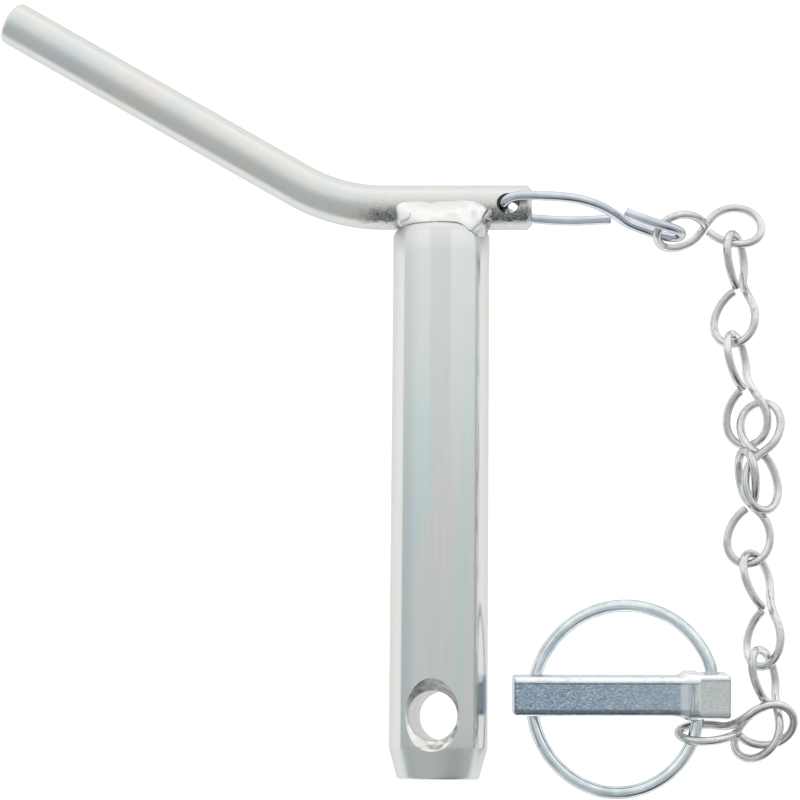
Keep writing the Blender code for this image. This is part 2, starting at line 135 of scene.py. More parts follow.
def tube(name, points, radius, sides=24, ends="cut", radii=None, squash=None):
    """Round wire along points (mm).  UV: along the wire in metres, and around it.
    Cut ends are sheared flat with a small worn edge."""
    pts = [Vector(p) for p in points]
    n = len(pts)
    tangents = []
    for i in range(n):
        a, b = pts[max(i - 1, 0)], pts[min(i + 1, n - 1)]
        tangents.append((b - a).normalized())
    up = Vector((0, 0, 1))
    if abs(tangents[0].dot(up)) > 0.9:
        up = Vector((0, 1, 0))
    normal = tangents[0].cross(up).normalized()
    frames = []
    for t in tangents:
        normal = (normal - t * normal.dot(t)).normalized()
        frames.append((normal.copy(), t.cross(normal)))
    run = [0.0]
    for a, b in zip(pts, pts[1:]):
        run.append(run[-1] + (b - a).length)
    rings = []          # (centre, frame, radius, distance)
    for i in range(n):
        r = radius if radii is None else radii[i] * radius
        rings.append((pts[i], frames[i], r, run[i]))
    worn = 0.16 * radius
    if ends == "cut":
        first = [(pts[0], frames[0], radius - worn, 0.0), (pts[0] + tangents[0] * worn * 0.3, frames[0], radius - worn * 0.4, 0.0),
                 (pts[0] + tangents[0] * worn, frames[0], radius, worn)]
        last = [(pts[-1] - tangents[-1] * worn, frames[-1], radius, run[-1] - worn),
                (pts[-1] - tangents[-1] * worn * 0.3, frames[-1], radius - worn * 0.4, run[-1]),
                (pts[-1], frames[-1], radius - worn, run[-1])]
        inner = [r for r in rings if worn * 1.5 < r[3] < run[-1] - worn * 1.5]
        rings = first + inner + last
    bm = bmesh.new()
    uv = bm.loops.layers.uv.new("UVMap")
    loops = []
    for c, (u, v), r, _ in rings:
        ring = []
        for k in range(sides):
            a = 2 * math.pi * k / sides
            ring.append(bm.verts.new((c + (u * math.cos(a) + v * math.sin(a)) * r) * MM))
        loops.append(ring)
    for i in range(len(loops) - 1):
        s0, s1 = rings[i][3] * MM, rings[i + 1][3] * MM
        for k in range(sides):
            j = (k + 1) % sides
            f = bm.faces.new((loops[i][k], loops[i][j], loops[i + 1][j], loops[i + 1][k]))
            a0, a1 = k / sides * 0.01, (k + 1) / sides * 0.01
            for loop, co in zip(f.loops, ((s0, a0), (s0, a1), (s1, a1), (s1, a0))):
                loop[uv].uv = co
    caps = [bm.faces.new(list(reversed(loops[0]))), bm.faces.new(loops[-1])]
    for f in caps:
        f.material_index = 1
    bmesh.ops.recalc_face_normals(bm, faces=bm.faces)
    mesh = D.meshes.new(name)
    bm.to_mesh(mesh)
    bm.free()
    return mesh


def turned(name, profile, steps):
    """Closed solid of revolution about Z from (radius, height) pairs in mm, top to bottom."""
    bm = bmesh.new()
    rings = []
    for r, z in profile:
        if r < 1e-6:
            rings.append([bm.verts.new((0, 0, z * MM))])
        else:
            rings.append([bm.verts.new((r * math.cos(2 * math.pi * k / steps) * MM,
                                        r * math.sin(2 * math.pi * k / steps) * MM, z * MM))
                          for k in range(steps)])
    for a, b in zip(rings, rings[1:]):
        for k in range(steps):
            j = (k + 1) % steps
            if len(a) == 1:
                bm.faces.new((a[0], b[k], b[j]))
            elif len(b) == 1:
                bm.faces.new((a[k], b[0], a[j]))
            else:
                bm.faces.new((a[k], b[k], b[j], a[j]))
    bmesh.ops.recalc_face_normals(bm, faces=bm.faces)
    mesh = D.meshes.new(name)
    bm.to_mesh(mesh)
    bm.free()
    return mesh


def loft(name, sections, corner_mask=None):
    """Skin over rings of points.  The corner mask, called with a point's index, is 1 on the
    corners of a section and 0 on its flats; it is kept in the UV map's second coordinate."""
    bm = bmesh.new()
    uv = bm.loops.layers.uv.new("UVMap")
    rings = [[bm.verts.new(Vector(p) * MM) for p in ring] for ring in sections]
    n = len(rings[0])
    for a, b in zip(rings, rings[1:]):
        for i in range(n):
            j = (i + 1) % n
            f = bm.faces.new((a[i], a[j], b[j], b[i]))
            for loop, (v, k) in zip(f.loops, ((a[i], i), (a[j], j), (b[j], j), (b[i], i))):
                loop[uv].uv = (v.co.x, corner_mask(k) if corner_mask else 0.0)
    bm.faces.new(list(reversed(rings[0])))
    bm.faces.new(rings[-1])
    bmesh.ops.recalc_face_normals(bm, faces=bm.faces)
    mesh = D.meshes.new(name)
    bm.to_mesh(mesh)
    bm.free()
    return mesh


def rounded_rectangle(width, height, radius, per_corner=9):
    out = []
    corners = ((1, 1), (-1, 1), (-1, -1), (1, -1))
    for q, (sx, sy) in enumerate(corners):
        cx, cy = sx * (width / 2 - radius), sy * (height / 2 - radius)
        for k in range(per_corner):
            t = math.radians(90 * (q + k / (per_corner - 1)))
            out.append((cx + radius * math.cos(t), cy + radius * math.sin(t)))
        nx, ny = corners[(q + 1) % 4]
        t = math.radians(90 * (q + 1))
        end = Vector((cx + radius * math.cos(t), cy + radius * math.sin(t)))
        start = Vector((nx * (width / 2 - radius) + radius * math.cos(t),
                        ny * (height / 2 - radius) + radius * math.sin(t)))
        for t in (0.03, 0.10, 0.90, 0.97):
            p = end.lerp(start, t)
            out.append((p.x, p.y))
    return out


def apply_modifiers(obj):
    bpy.context.view_layer.update()
    graph = bpy.context.evaluated_depsgraph_get()
    mesh = D.meshes.new_from_object(obj.evaluated_get(graph))
    old = obj.data
    obj.modifiers.clear()
    obj.data = mesh
    D.meshes.remove(old)
    return obj


def cut(obj, tool):
    mod = obj.modifiers.new("cut", "BOOLEAN")
    mod.operation = "DIFFERENCE"
    mod.solver = "EXACT"
    mod.object = tool
    apply_modifiers(obj)
    mesh = tool.data
    D.objects.remove(tool, do_unlink=True)
    D.meshes.remove(mesh)
    return obj


def bake_transform(obj):
    obj.data.transform(obj.matrix_basis)
    obj.matrix_basis = Matrix.Identity(4)
    return obj


def placed(obj, at, turn):
    obj.location = Vector(at) * MM
    obj.rotation_euler = Euler([math.radians(a) for a in turn], "XYZ")
    return obj


# ---------------------------------------------------------------- materials
class Nodes:
    def __init__(self, name):
        self.mat = D.materials.new(name)
        self.mat.use_nodes = True
        self.tree = self.mat.node_tree
        self.bsdf = self.tree.nodes["Principled BSDF"]

    def add(self, kind, **inputs):
        node = self.tree.nodes.new(kind)
        for key, value in inputs.items():
            node.inputs[key.replace("_", " ")].default_value = value
        return node

    def link(self, a, b):
        self.tree.links.new(a, b)

    def coords(self, kind, scale):
        tex = self.tree.nodes.new("ShaderNodeTexCoord")
        mapping = self.tree.nodes.new("ShaderNodeMapping")
        mapping.inputs["Scale"].default_value = scale
        self.link(tex.outputs[kind], mapping.inputs["Vector"])
        return mapping.outputs["Vector"]

    def noise(self, vector, scale, detail=3.0, rough=0.55, distortion=0.0):
        node = self.tree.nodes.new("ShaderNodeTexNoise")
        node.inputs["Scale"].default_value = scale
        node.inputs["Detail"].default_value = detail
        node.inputs["Roughness"].default_value = rough
        node.inputs["Distortion"].default_value = distortion
        self.link(vector, node.inputs["Vector"])
        return node.outputs["Fac"]

    def ramp(self, fac, stops, interpolation="LINEAR"):
        node = self.tree.nodes.new("ShaderNodeValToRGB")
        node.color_ramp.interpolation = interpolation
        el = node.color_ramp.elements
        while len(el) < len(stops):
            el.new(0.5)
        for e, (pos, col) in zip(el, stops):
            e.position = pos
            e.color = (*col, 1.0) if len(col) == 3 else (col[0], col[0], col[0], 1.0)
        self.link(fac, node.inputs["Fac"])
        return node.outputs["Color"]

    def mix(self, fac, a, b, mode="MIX"):
        node = self.tree.nodes.new("ShaderNodeMix")
        node.data_type = "RGBA"
        node.blend_type = mode
        for value, socket in ((fac, node.inputs[0]), (a, node.inputs[6]), (b, node.inputs[7])):
            if isinstance(value, (int, float)) and socket.type == "RGBA":
                value = (value, value, value)
            if isinstance(value, (int, float)):
                socket.default_value = value
            elif isinstance(value, tuple):
                socket.default_value = (*value, 1.0)
            else:
                self.link(value, socket)
        return node.outputs[2]

    def math(self, op, a, b=0.0, clamp=False):
        node = self.tree.nodes.new("ShaderNodeMath")
        node.operation = op
        node.use_clamp = clamp
        for value, socket in ((a, node.inputs[0]), (b, node.inputs[1])):
            if isinstance(value, (int, float)):
                socket.default_value = value
            else:
                self.link(value, socket)
        return node.outputs[0]

    def span(self, fac, lo, hi, from_lo=0.0, from_hi=1.0):
        node = self.tree.nodes.new("ShaderNodeMapRange")
        node.inputs["From Min"].default_value = from_lo
        node.inputs["From Max"].default_value = from_hi
        node.inputs["To Min"].default_value = lo
        node.inputs["To Max"].default_value = hi
        self.link(fac, node.inputs["Value"])
        return node.outputs["Result"]

    def bump(self, height, strength, distance, normal=None):
        node = self.tree.nodes.new("ShaderNodeBump")
        node.inputs["Strength"].default_value = strength
        node.inputs["Distance"].default_value = distance
        self.link(height, node.inputs["Height"])
        if normal is not None:
            self.link(normal, node.inputs["Normal"])
        return node.outputs["Normal"]

    def finish(self, color=None, roughness=None, metallic=1.0, normal=None, edge=0.80):
        b = self.bsdf
        b.inputs["Specular Tint"].default_value = (edge, edge, edge, 1.0)
        b.inputs["Metallic"].default_value = metallic
        for value, key in ((color, "Base Color"), (roughness, "Roughness"), (normal, "Normal")):
            if value is None:
                continue
            if isinstance(value, (int, float)):
                b.inputs[key].default_value = value
            elif isinstance(value, tuple):
                b.inputs[key].default_value = (*value, 1.0)
            else:
                self.link(value, b.inputs[key])
        return self.mat


def shank_zinc():
    """Bright zinc on a turned bar: sharp reflections, fine feed marks near the
    handle end, and faint rainbow streaks of the plating along the length."""
    n = Nodes("bright_zinc_turned")
    obj = n.coords("Object", (1, 1, 1))
    long = n.coords("Object", (1, 0.035, 0.5))
    across = n.coords("Object", (0.02, 1, 0.02))
    split = n.tree.nodes.new("ShaderNodeSeparateXYZ")
    n.link(obj, split.inputs[0])
    y = split.outputs[1]
    tint = n.noise(long, 120, 3, 0.55, 0.5)
    rainbow = n.ramp(tint, [(0.30, (0.66, 0.67, 0.70)), (0.38, (0.58, 0.68, 0.71)), (0.44, (0.60, 0.68, 0.65)),
                            (0.49, (0.66, 0.66, 0.65)), (0.53, (0.70, 0.66, 0.69)), (0.57, (0.65, 0.68, 0.66)),
                            (0.63, (0.62, 0.69, 0.66)), (0.70, (0.61, 0.66, 0.71))])
    plain = n.ramp(n.noise(long, 60, 2, 0.5), [(0.35, (0.655, 0.672, 0.660)), (0.65, (0.680, 0.690, 0.682))])
    lower = n.span(y, 0.85, 0.20, 0.075, 0.125)
    patchy = n.span(n.noise(n.coords("Object", (1, 0.3, 1)), 130, 3, 0.5), 0.45, 1.0, 0.38, 0.58)
    lower = n.math("MULTIPLY", lower, patchy)
    color = n.mix(lower, plain, rainbow)
    upper = n.mix(1.0, color, (1.055, 1.045, 1.050), "MULTIPLY")
    color = n.mix(n.span(y, 0.0, 1.0, 0.065, 0.115), color, upper)
    facing = n.tree.nodes.new("ShaderNodeLayerWeight")
    facing.inputs["Blend"].default_value = 0.5
    color = n.mix(n.span(facing.outputs["Facing"], 0.0, 1.0, 0.35, 0.75), color, (0.672, 0.668, 0.648))
    streak = n.noise(long, 1500, 2, 0.6)
    color = n.mix(0.06, color, n.ramp(streak, [(0.35, (0.70,)), (0.65, (1.0,))]), "MULTIPLY")
    wave = n.tree.nodes.new("ShaderNodeTexWave")
    wave.wave_type, wave.bands_direction, wave.wave_profile = "BANDS", "Y", "SIN"
    wave.inputs["Scale"].default_value = 2 * math.pi / 20 / 0.00052
    wave.inputs["Distortion"].default_value = 1.6
    wave.inputs["Detail"].default_value = 1.0
    wave.inputs["Detail Scale"].default_value = 0.35
    n.link(obj, wave.inputs["Vector"])
    marks = n.math("MULTIPLY", wave.outputs["Fac"], n.noise(across, 900, 2, 0.5))
    zone = n.math("MULTIPLY", n.span(y, 0.0, 1.0, 0.085, 0.112), n.span(y, 1.0, 0.25, 0.134, 0.140))
    marks = n.math("MULTIPLY", marks, zone)
    marks = n.math("MULTIPLY", marks, n.span(n.noise(obj, 170, 2, 0.5), 0.35, 1.0, 0.40, 0.60))
    cloud = n.noise(obj, 240, 4, 0.6)
    rough = n.span(cloud, 0.10, 0.17, 0.3, 0.7)
    cone = n.span(y, 1.0, 0.0, 0.0078, 0.0082)
    rough = n.mix(cone, rough, 0.29)
    color = n.mix(n.math("MULTIPLY", cone, 0.6), color, (0.635, 0.672, 0.678))
    flank = n.span(n.math("ABSOLUTE", split.outputs[0], 0.0), 0.0, 1.0, 0.0088, 0.0097)
    rough = n.mix(n.math("MULTIPLY", flank, n.span(y, 0.0, 1.0, 0.1335, 0.1375)), rough, 0.40)
    rough = n.mix(n.span(y, 0.0, 1.0, 0.1408, 0.1414), rough, 0.46)
    normal = n.bump(marks, 0.36, 0.00003)
    normal = n.bump(n.noise(across, 2300, 2, 0.5), 0.10, 0.00002, normal)
    normal = n.bump(cloud, 0.05, 0.00006, normal)
    return n.finish(color, rough, 1.0, normal)


def hole_zinc():
    """Bored and countersunk faces: dull zinc with turning rings and cut facets."""
    n = Nodes("zinc_bored")
    obj = n.coords("Object", (1, 1, 1))
    rings = n.noise(n.coords("Object", (0.06, 0.06, 1)), 1700, 2, 0.5)
    color = n.ramp(n.noise(obj, 300, 4, 0.6), [(0.3, (0.70, 0.71, 0.70)), (0.5, (0.77, 0.77, 0.76)), (0.7, (0.82, 0.83, 0.81))])
    color = n.mix(0.45, color, n.ramp(rings, [(0.35, (0.66,)), (0.60, (1.0,))]), "MULTIPLY")
    cells = n.tree.nodes.new("ShaderNodeTexVoronoi")
    cells.feature = "F1"
    cells.inputs["Scale"].default_value = 420.0
    n.link(obj, cells.inputs["Vector"])
    normal = n.bump(rings, 0.60, 0.00014)
    normal = n.bump(cells.outputs["Distance"], 0.30, 0.00080, normal)
    return n.finish(color, 0.28, 1.0, normal, edge=0.75)


def eye_bore_painted_shade():
    """Inside of the handle's drilled eye, coloured dark as painted shade in the bore."""
    n = Nodes("zinc_eye_bore_painted_shade")
    obj = n.coords("Object", (1, 1, 1))
    color = n.ramp(n.noise(obj, 900, 4, 0.6), [(0.35, (0.12, 0.13, 0.13)), (0.62, (0.34, 0.36, 0.36))])
    return n.finish(color, 0.42, 1.0, n.bump(n.noise(obj, 1500, 3, 0.6), 0.4, 0.0001), edge=0.25)


def bar_zinc():
    """Satin zinc on drawn bar.  Near the weld the lower front is darker and pitted."""
    n = Nodes("zinc_handle")
    obj = n.coords("Object", (1, 1, 1))
    split = n.tree.nodes.new("ShaderNodeSeparateXYZ")
    n.link(obj, split.inputs[0])
    x, y, z = split.outputs
    cloud = n.noise(obj, 70, 3, 0.5, 0.4)
    color = n.ramp(cloud, [(0.30, (0.628, 0.672, 0.688)), (0.45, (0.655, 0.676, 0.680)), (0.55, (0.688, 0.680, 0.655)),
                           (0.70, (0.682, 0.664, 0.655))])
    facing = n.tree.nodes.new("ShaderNodeLayerWeight")
    facing.inputs["Blend"].default_value = 0.5
    color = n.mix(n.span(facing.outputs["Facing"], 0.0, 0.8, 0.45, 0.85), color, (0.668, 0.658, 0.635))
    pits = n.noise(obj, 2100, 4, 0.75)
    speck = n.ramp(pits, [(0.38, (0.40,)), (0.46, (0.78,)), (0.53, (1.0,)), (0.60, (1.55,))])
    # A darker, pitted patch on the lower front next to the weld.
    left = n.span(x, 0.0, 1.0, -0.0225, -0.0165)
    wander = n.math("MULTIPLY", n.math("SUBTRACT", n.noise(obj, 420, 3, 0.6), 0.5), 0.0030)
    height = n.math("ADD", y, wander)
    front = n.math("MULTIPLY", n.span(height, 1.0, 0.0, 0.1472, 0.1490), n.span(height, 0.0, 1.0, 0.1446, 0.1453))
    front = n.math("MULTIPLY", front, n.span(z, 0.0, 1.0, -0.0005, 0.0020))
    dark_near_weld = n.math("MULTIPLY", left, front)
    dark = n.mix(1.0, (0.33, 0.345, 0.345), speck, "MULTIPLY")
    color = n.mix(dark_near_weld, color, dark)
    fringe = n.math("MULTIPLY", n.span(x, 0.0, 0.55, -0.030, -0.018), n.span(y, 1.0, 0.0, 0.1500, 0.1530))
    color = n.mix(fringe, color, n.mix(1.0, color, n.ramp(pits, [(0.40, (0.62,)), (0.50, (1.0,))]), "MULTIPLY"))
    grain = n.noise(obj, 1500, 4, 0.7)
    rough = n.span(n.noise(obj, 120, 3, 0.5), 0.25, 0.33, 0.35, 0.65)
    rough = n.mix(dark_near_weld, rough, 0.20)
    normal = n.bump(grain, 0.10, 0.00005)
    rugged = n.math("MULTIPLY", pits, n.span(dark_near_weld, 0.15, 1.0, 0.0, 0.6))
    normal = n.bump(rugged, 0.60, 0.00016, normal)
    soft = n.noise(obj, 150, 3, 0.5)
    normal = n.bump(soft, 0.10, 0.00030, normal)
    return n.finish(color, rough, 1.0, normal)


def weld_zinc():
    """Plated weld metal, with painted shade where it meets its neighbours.  A mesh
    attribute sets how strong the painted shade is: 1 in the narrow gaps and 0 on the open bead."""
    n = Nodes("plated_weld_crevice_shade")
    obj = n.coords("Object", (1, 1, 1))
    cloud = n.noise(obj, 230, 3, 0.5, 0.6)
    color = n.ramp(cloud, [(0.30, (0.70, 0.72, 0.71)), (0.42, (0.76, 0.76, 0.75)), (0.50, (0.75, 0.76, 0.78)),
                           (0.58, (0.77, 0.75, 0.74)), (0.68, (0.74, 0.76, 0.74))])
    toe_shade = n.tree.nodes.new("ShaderNodeAttribute")
    toe_shade.attribute_name = "crevice_shade"
    broken = n.math("MULTIPLY", toe_shade.outputs["Fac"], n.span(n.noise(obj, 900, 3, 0.6), 0.75, 1.15, 0.35, 0.65))
    # Painted shade: the weld goes near black in its gaps, broken up by noise.
    color = n.mix(n.math("MINIMUM", broken, 1.0), color, (0.10, 0.105, 0.10))
    normal = n.bump(n.noise(obj, 420, 4, 0.55), 0.25, 0.00020)
    normal = n.bump(n.noise(obj, 1800, 3, 0.6), 0.10, 0.00005, normal)
    return n.finish(color, 0.26, 1.0, normal)


def wire_zinc(name, low, high, rough_lo, rough_hi, streaks=0.25, rim=(0.42, 0.45, 0.47), edge=0.55, specks=0.0):
    """Plated drawn wire: fine die lines along it, slow changes of tone, painted
    shade that darkens the outline at grazing angles and small worn specks."""
    n = Nodes(name)
    along = n.coords("UV", (0.05, 1, 1))
    obj = n.coords("Object", (1, 1, 1))
    cloud = n.noise(obj, 170, 3, 0.55)
    color = n.ramp(cloud, [(0.32, low), (0.68, high)])
    draw = n.noise(along, 2600, 3, 0.6)
    color = n.mix(streaks, color, n.ramp(draw, [(0.35, (0.52,)), (0.65, (1.0,))]), "MULTIPLY")
    if specks:
        spots = n.ramp(n.noise(obj, 1300, 4, 0.7), [(0.34, (0.35,)), (0.41, (1.0,))])
        color = n.mix(specks, color, spots, "MULTIPLY")
    facing = n.tree.nodes.new("ShaderNodeLayerWeight")
    facing.inputs["Blend"].default_value = 0.5
    # Painted shade: the colour darkens towards the rim colour at grazing angles, giving the wire a dark outline.
    color = n.mix(n.span(facing.outputs["Facing"], 0.0, 0.85, 0.62, 0.90), color, rim)
    rough = n.span(n.noise(obj, 900, 3, 0.6), rough_lo, rough_hi, 0.3, 0.7)
    normal = n.bump(draw, 0.16, 0.00004)
    normal = n.bump(n.noise(obj, 500, 3, 0.55), 0.14, 0.00014, normal)
    return n.finish(color, rough, 1.0, normal, edge=edge)


def cut_zinc():
    n = Nodes("sheared_wire_end")
    obj = n.coords("Object", (1, 1, 1))
    lines = n.noise(n.coords("Object", (1, 0.15, 1)), 3000, 3, 0.6)
    color = n.ramp(lines, [(0.3, (0.40, 0.40, 0.40)), (0.7, (0.66, 0.66, 0.64))])
    return n.finish(color, 0.38, 1.0, n.bump(lines, 0.4, 0.0001))


def forged_zinc():
    """Bluish zinc over scaly steel: short streaks along the pin, corners brighter from rubbing and a
    painted highlight with a painted shade line beside them, a paler flare with a painted highlight, a painted
    highlight on the shoulder before the head, and a paler head."""
    n = Nodes("zinc_forged")
    obj = n.coords("Object", (1, 1, 1))
    split = n.tree.nodes.new("ShaderNodeSeparateXYZ")
    n.link(obj, split.inputs[0])
    x, y, z = split.outputs
    corner = n.tree.nodes.new("ShaderNodeSeparateXYZ")
    n.link(n.coords("UV", (1, 1, 1)), corner.inputs[0])
    worn = corner.outputs[1]
    streaks = n.coords("Object", (0.42, 1, 1))
    mottle = n.noise(streaks, 2900, 5, 0.8, 0.2)
    fine = n.noise(streaks, 5200, 3, 0.6)
    cloud = n.noise(obj, 160, 3, 0.5)
    body = n.ramp(mottle, [(0.36, (0.13, 0.20, 0.31)), (0.44, (0.25, 0.35, 0.47)), (0.51, (0.37, 0.47, 0.59)),
                           (0.58, (0.60, 0.69, 0.79)), (0.64, (0.90, 0.93, 0.97))])
    body = n.mix(n.span(x, 0.0, 0.35, 0.028, 0.062), body, (0.56, 0.62, 0.67))
    body = n.mix(n.span(cloud, 0.0, 0.22, 0.45, 0.7), body, (0.52, 0.59, 0.66))
    head = n.ramp(mottle, [(0.36, (0.58, 0.63, 0.64)), (0.52, (0.74, 0.765, 0.77)), (0.66, (0.84, 0.85, 0.85))])
    across = n.noise(n.coords("Object", (1, 0.12, 0.12)), 1900, 3, 0.6)
    neck = n.ramp(across, [(0.36, (0.38, 0.45, 0.52)), (0.48, (0.54, 0.60, 0.65)), (0.60, (0.80, 0.84, 0.86))])
    flare = n.math("MULTIPLY", n.span(x, 0.0, 1.0, 0.0621, 0.0627), n.span(x, 1.0, 0.0, 0.0641, 0.0646))
    color = n.mix(n.span(x, 0.0, 1.0, 0.0640, 0.0645), body, neck)
    step_highlight = n.math("MULTIPLY", n.span(x, 0.0, 1.0, 0.0666, 0.0670), n.span(x, 1.0, 0.0, 0.0673, 0.0677))
    color = n.mix(n.span(x, 0.0, 1.0, 0.0670, 0.0675), color, head)
    # Paler metal and a painted highlight on the flare; a painted highlight on the shoulder before the head.
    color = n.mix(n.math("MULTIPLY", flare, 0.75), color, (0.84, 0.87, 0.88))
    color = n.mix(n.math("MULTIPLY", step_highlight, 0.7), color, (0.90, 0.92, 0.92))
    broken = n.span(n.noise(streaks, 900, 3, 0.6), 0.60, 1.0, 0.35, 0.50)
    # Painted shade: a dark line beside each corner.
    painted_shade_line = n.math("MULTIPLY", n.span(worn, 0.0, 1.0, 0.08, 0.40), n.span(worn, 1.0, 0.0, 0.60, 0.78))
    painted_shade_line = n.math("MULTIPLY", n.math("MULTIPLY", painted_shade_line, broken), n.span(x, 0.80, 0.35, 0.0615, 0.0650))
    color = n.mix(painted_shade_line, color, (0.13, 0.17, 0.21))
    # Brighter corners, partly worn by rubbing, partly a painted highlight.
    rub_and_highlight = n.math("MULTIPLY", n.span(worn, 0.0, 0.92, 0.64, 0.92), broken)
    color = n.mix(rub_and_highlight, color, (0.91, 0.935, 0.95))
    rough = n.span(mottle, 0.12, 0.24, 0.3, 0.7)
    normal = n.bump(mottle, 0.55, 0.00010)
    normal = n.bump(fine, 0.25, 0.00003, normal)
    return n.finish(color, rough, 1.0, normal, edge=0.85)


M_SHANK = shank_zinc()
M_HOLE = hole_zinc()
M_EYE_SHADE = eye_bore_painted_shade()
M_BAR = bar_zinc()
M_WELD = weld_zinc()
# Each rim colour is the painted shade at that wire's outline.
M_CONNECTOR = wire_zinc("zinc_connector", (0.58, 0.62, 0.69), (0.72, 0.76, 0.83), 0.12, 0.20, 0.3,
                        rim=(0.46, 0.50, 0.55), edge=0.6)
M_CHAIN = [wire_zinc("zinc_chain_%d" % k, lo, hi, 0.10, 0.18, 0.45, rim=(0.50, 0.51, 0.50), edge=0.62, specks=0.6)
           for k, (lo, hi) in enumerate([((0.62, 0.63, 0.63), (0.84, 0.85, 0.84)), ((0.58, 0.59, 0.585), (0.82, 0.82, 0.80)),
                                         ((0.64, 0.65, 0.66), (0.86, 0.86, 0.87))])]
M_RING = wire_zinc("zinc_ring", (0.62, 0.69, 0.74), (0.90, 0.95, 0.98), 0.05, 0.10, 0.40, rim=(0.25, 0.30, 0.34), edge=0.45,
                   specks=0.2)
M_CUT = cut_zinc()
M_PIN = forged_zinc()


# ---------------------------------------------------------------- shank
def build_shank():
    r, top = SHANK_R, SHANK_LENGTH
    profile = [(0, top), (r - RIM_DEPTH - 0.30, top), (r - RIM_DEPTH - 0.10, top - 0.05)]
    for k in range(11):
        t = k / 10
        bow = 0.10 * math.sin(math.pi * t)
        profile.append((r - RIM_DEPTH * (1 - t) + bow * 0.9, top - 0.12 - (RIM - 0.12) * t + bow * 0.4))
    soft = 0.1
    steps = 24
    low, high = TIP_CONE + 0.25, top - RIM - soft * 2
    for k in range(1, steps):
        profile.append((r, high + (low - high) * k / steps))
    slope = (r - TIP_FACE_R) / TIP_CONE
    profile += [(r, low), (r - 0.02, TIP_CONE + 0.02), (r - slope * 0.35, TIP_CONE - 0.35)]
    for k in range(1, 6):
        h = TIP_CONE - 0.35 - (TIP_CONE - 0.75) * k / 6
        profile.append((r - slope * (TIP_CONE - h), h))
    profile += [(TIP_FACE_R + slope * 0.55, 0.55), (TIP_FACE_R + slope * 0.30 - 0.02, 0.32), (TIP_FACE_R - 0.06, 0.16),
                (TIP_FACE_R - 0.22, 0.05), (TIP_FACE_R - 0.45, 0.0), (0, 0)]
    shank = new_object("shank", turned("shank", profile, 192))
    shank.data.transform(Matrix.Rotation(math.radians(-90), 4, "X"))
    reach = 20.0
    flare = HOLE_R + (reach - SINK_FROM) * math.tan(math.radians(SINK_ANGLE))
    round_in = 0.08
    hole = [(0, reach), (flare, reach), (HOLE_R + 0.10, SINK_FROM + 0.085), (HOLE_R + 0.025, SINK_FROM + 0.005),
            (HOLE_R, SINK_FROM - round_in)]
    for k in range(1, 8):
        hole.append((HOLE_R, (SINK_FROM - round_in) * (1 - 2 * k / 8)))
    hole += [(HOLE_R, -SINK_FROM + round_in), (HOLE_R + 0.025, -SINK_FROM - 0.005),
             (HOLE_R + 0.10, -SINK_FROM - 0.085), (flare, -reach), (0, -reach)]
    drill = placed(new_object("drill", turned("drill", hole, 128)), (0, HOLE_AT, 0), (0, -HOLE_TILT, 0))
    for m in (M_SHANK, M_HOLE):
        shank.data.materials.append(m)
        drill.data.materials.append(m)
    for f in drill.data.polygons:
        f.material_index = 1
    cut(shank, drill)
    shade(shank, 28)
    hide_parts("pin_shank")
    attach(shank, "frame")
    return shank


# ---------------------------------------------------------------- handle
def handle_axis():
    slope = math.atan(ARM_SLOPE)
    bend = math.radians(BEND_DEG)
    tangent = BEND_R * math.tan(bend / 2)
    u = Vector((-math.cos(slope), math.sin(slope)))
    vertex = Vector((BEND_AT, -BEND_AT * ARM_SLOPE))
    start = Vector((ARM_END, -ARM_END * ARM_SLOPE))
    v = Matrix.Rotation(-bend, 2) @ u
    n = Vector((-u.y, u.x))
    if n.dot(v) < 0:
        n = -n
    centre = vertex - u * tangent + n * BEND_R
    pts, radii = [], []
    ch = 1.2
    for back, scale in ((0.0, 0.765), (0.12, 0.80), (ch - 0.15, 0.985), (ch + 0.15, 1.0)):
        pts.append(start + u * back)
        radii.append(scale)
    arm = (vertex - u * tangent - start).length
    for k in range(1, 10):
        pts.append(start + u * (ch + 0.15 + (arm - ch - 0.15) * k / 10))
        radii.append(1.0)
    for k in range(33):
        a = bend * k / 32
        pts.append(centre - n * (BEND_R * math.cos(a)) + u * (BEND_R * math.sin(a)))
        radii.append(1.0)
    tip = vertex + v * LONG_ARM
    last = pts[-1]
    for k in range(1, 24):
        pts.append(last.lerp(tip - v * 3.0, k / 23))
        radii.append(1.0)
    for back, scale in ((2.2, 0.997), (1.5, 0.985), (1.05, 0.93), (0.75, 0.86), (0.5, 0.77),
                        (0.25, 0.66), (0.1, 0.54), (0.0, 0.42)):
        pts.append(tip - v * back)
        radii.append(scale)
    return [Vector((p.x, p.y, 0.0)) for p in pts], radii


def build_handle():
    points, radii = handle_axis()
    mesh = tube("handle", points, BAR_R, 96, "plain", radii)
    handle = new_object("handle", mesh)
    placed(handle, (0, BAR_Y, 0), (0, -BAR_ROLL, 0))
    bake_transform(handle)
    roll = math.radians(BAR_ROLL)
    lip = 0.04
    top = math.sqrt(BAR_R ** 2 - EYE_R ** 2)
    hole = [(0, 9), (EYE_R + 2.5, 9), (EYE_R + lip, top + 0.35), (EYE_R, top - 0.35),
            (EYE_R, -top + 0.35), (EYE_R + lip, -top - 0.35), (EYE_R + 2.5, -9), (0, -9)]
    eye = placed(new_object("eye", turned("eye", hole, 64)),
                 (EYE_AT * math.cos(roll), BAR_Y - EYE_AT * ARM_SLOPE, EYE_AT * math.sin(roll)),
                 (0, -BAR_ROLL, 0))
    handle.data.materials.append(M_BAR)
    handle.data.materials.append(M_EYE_SHADE)
    for f in handle.data.polygons:
        f.material_index = 0
    eye.data.materials.append(M_BAR)
    eye.data.materials.append(M_EYE_SHADE)
    # The bore faces take the dark material that paints shade inside the eye.
    for f in eye.data.polygons:
        f.material_index = 1
    cut(handle, eye)
    shade(handle, 28)
    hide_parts("handle_bar")
    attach(handle, "frame")
    return handle


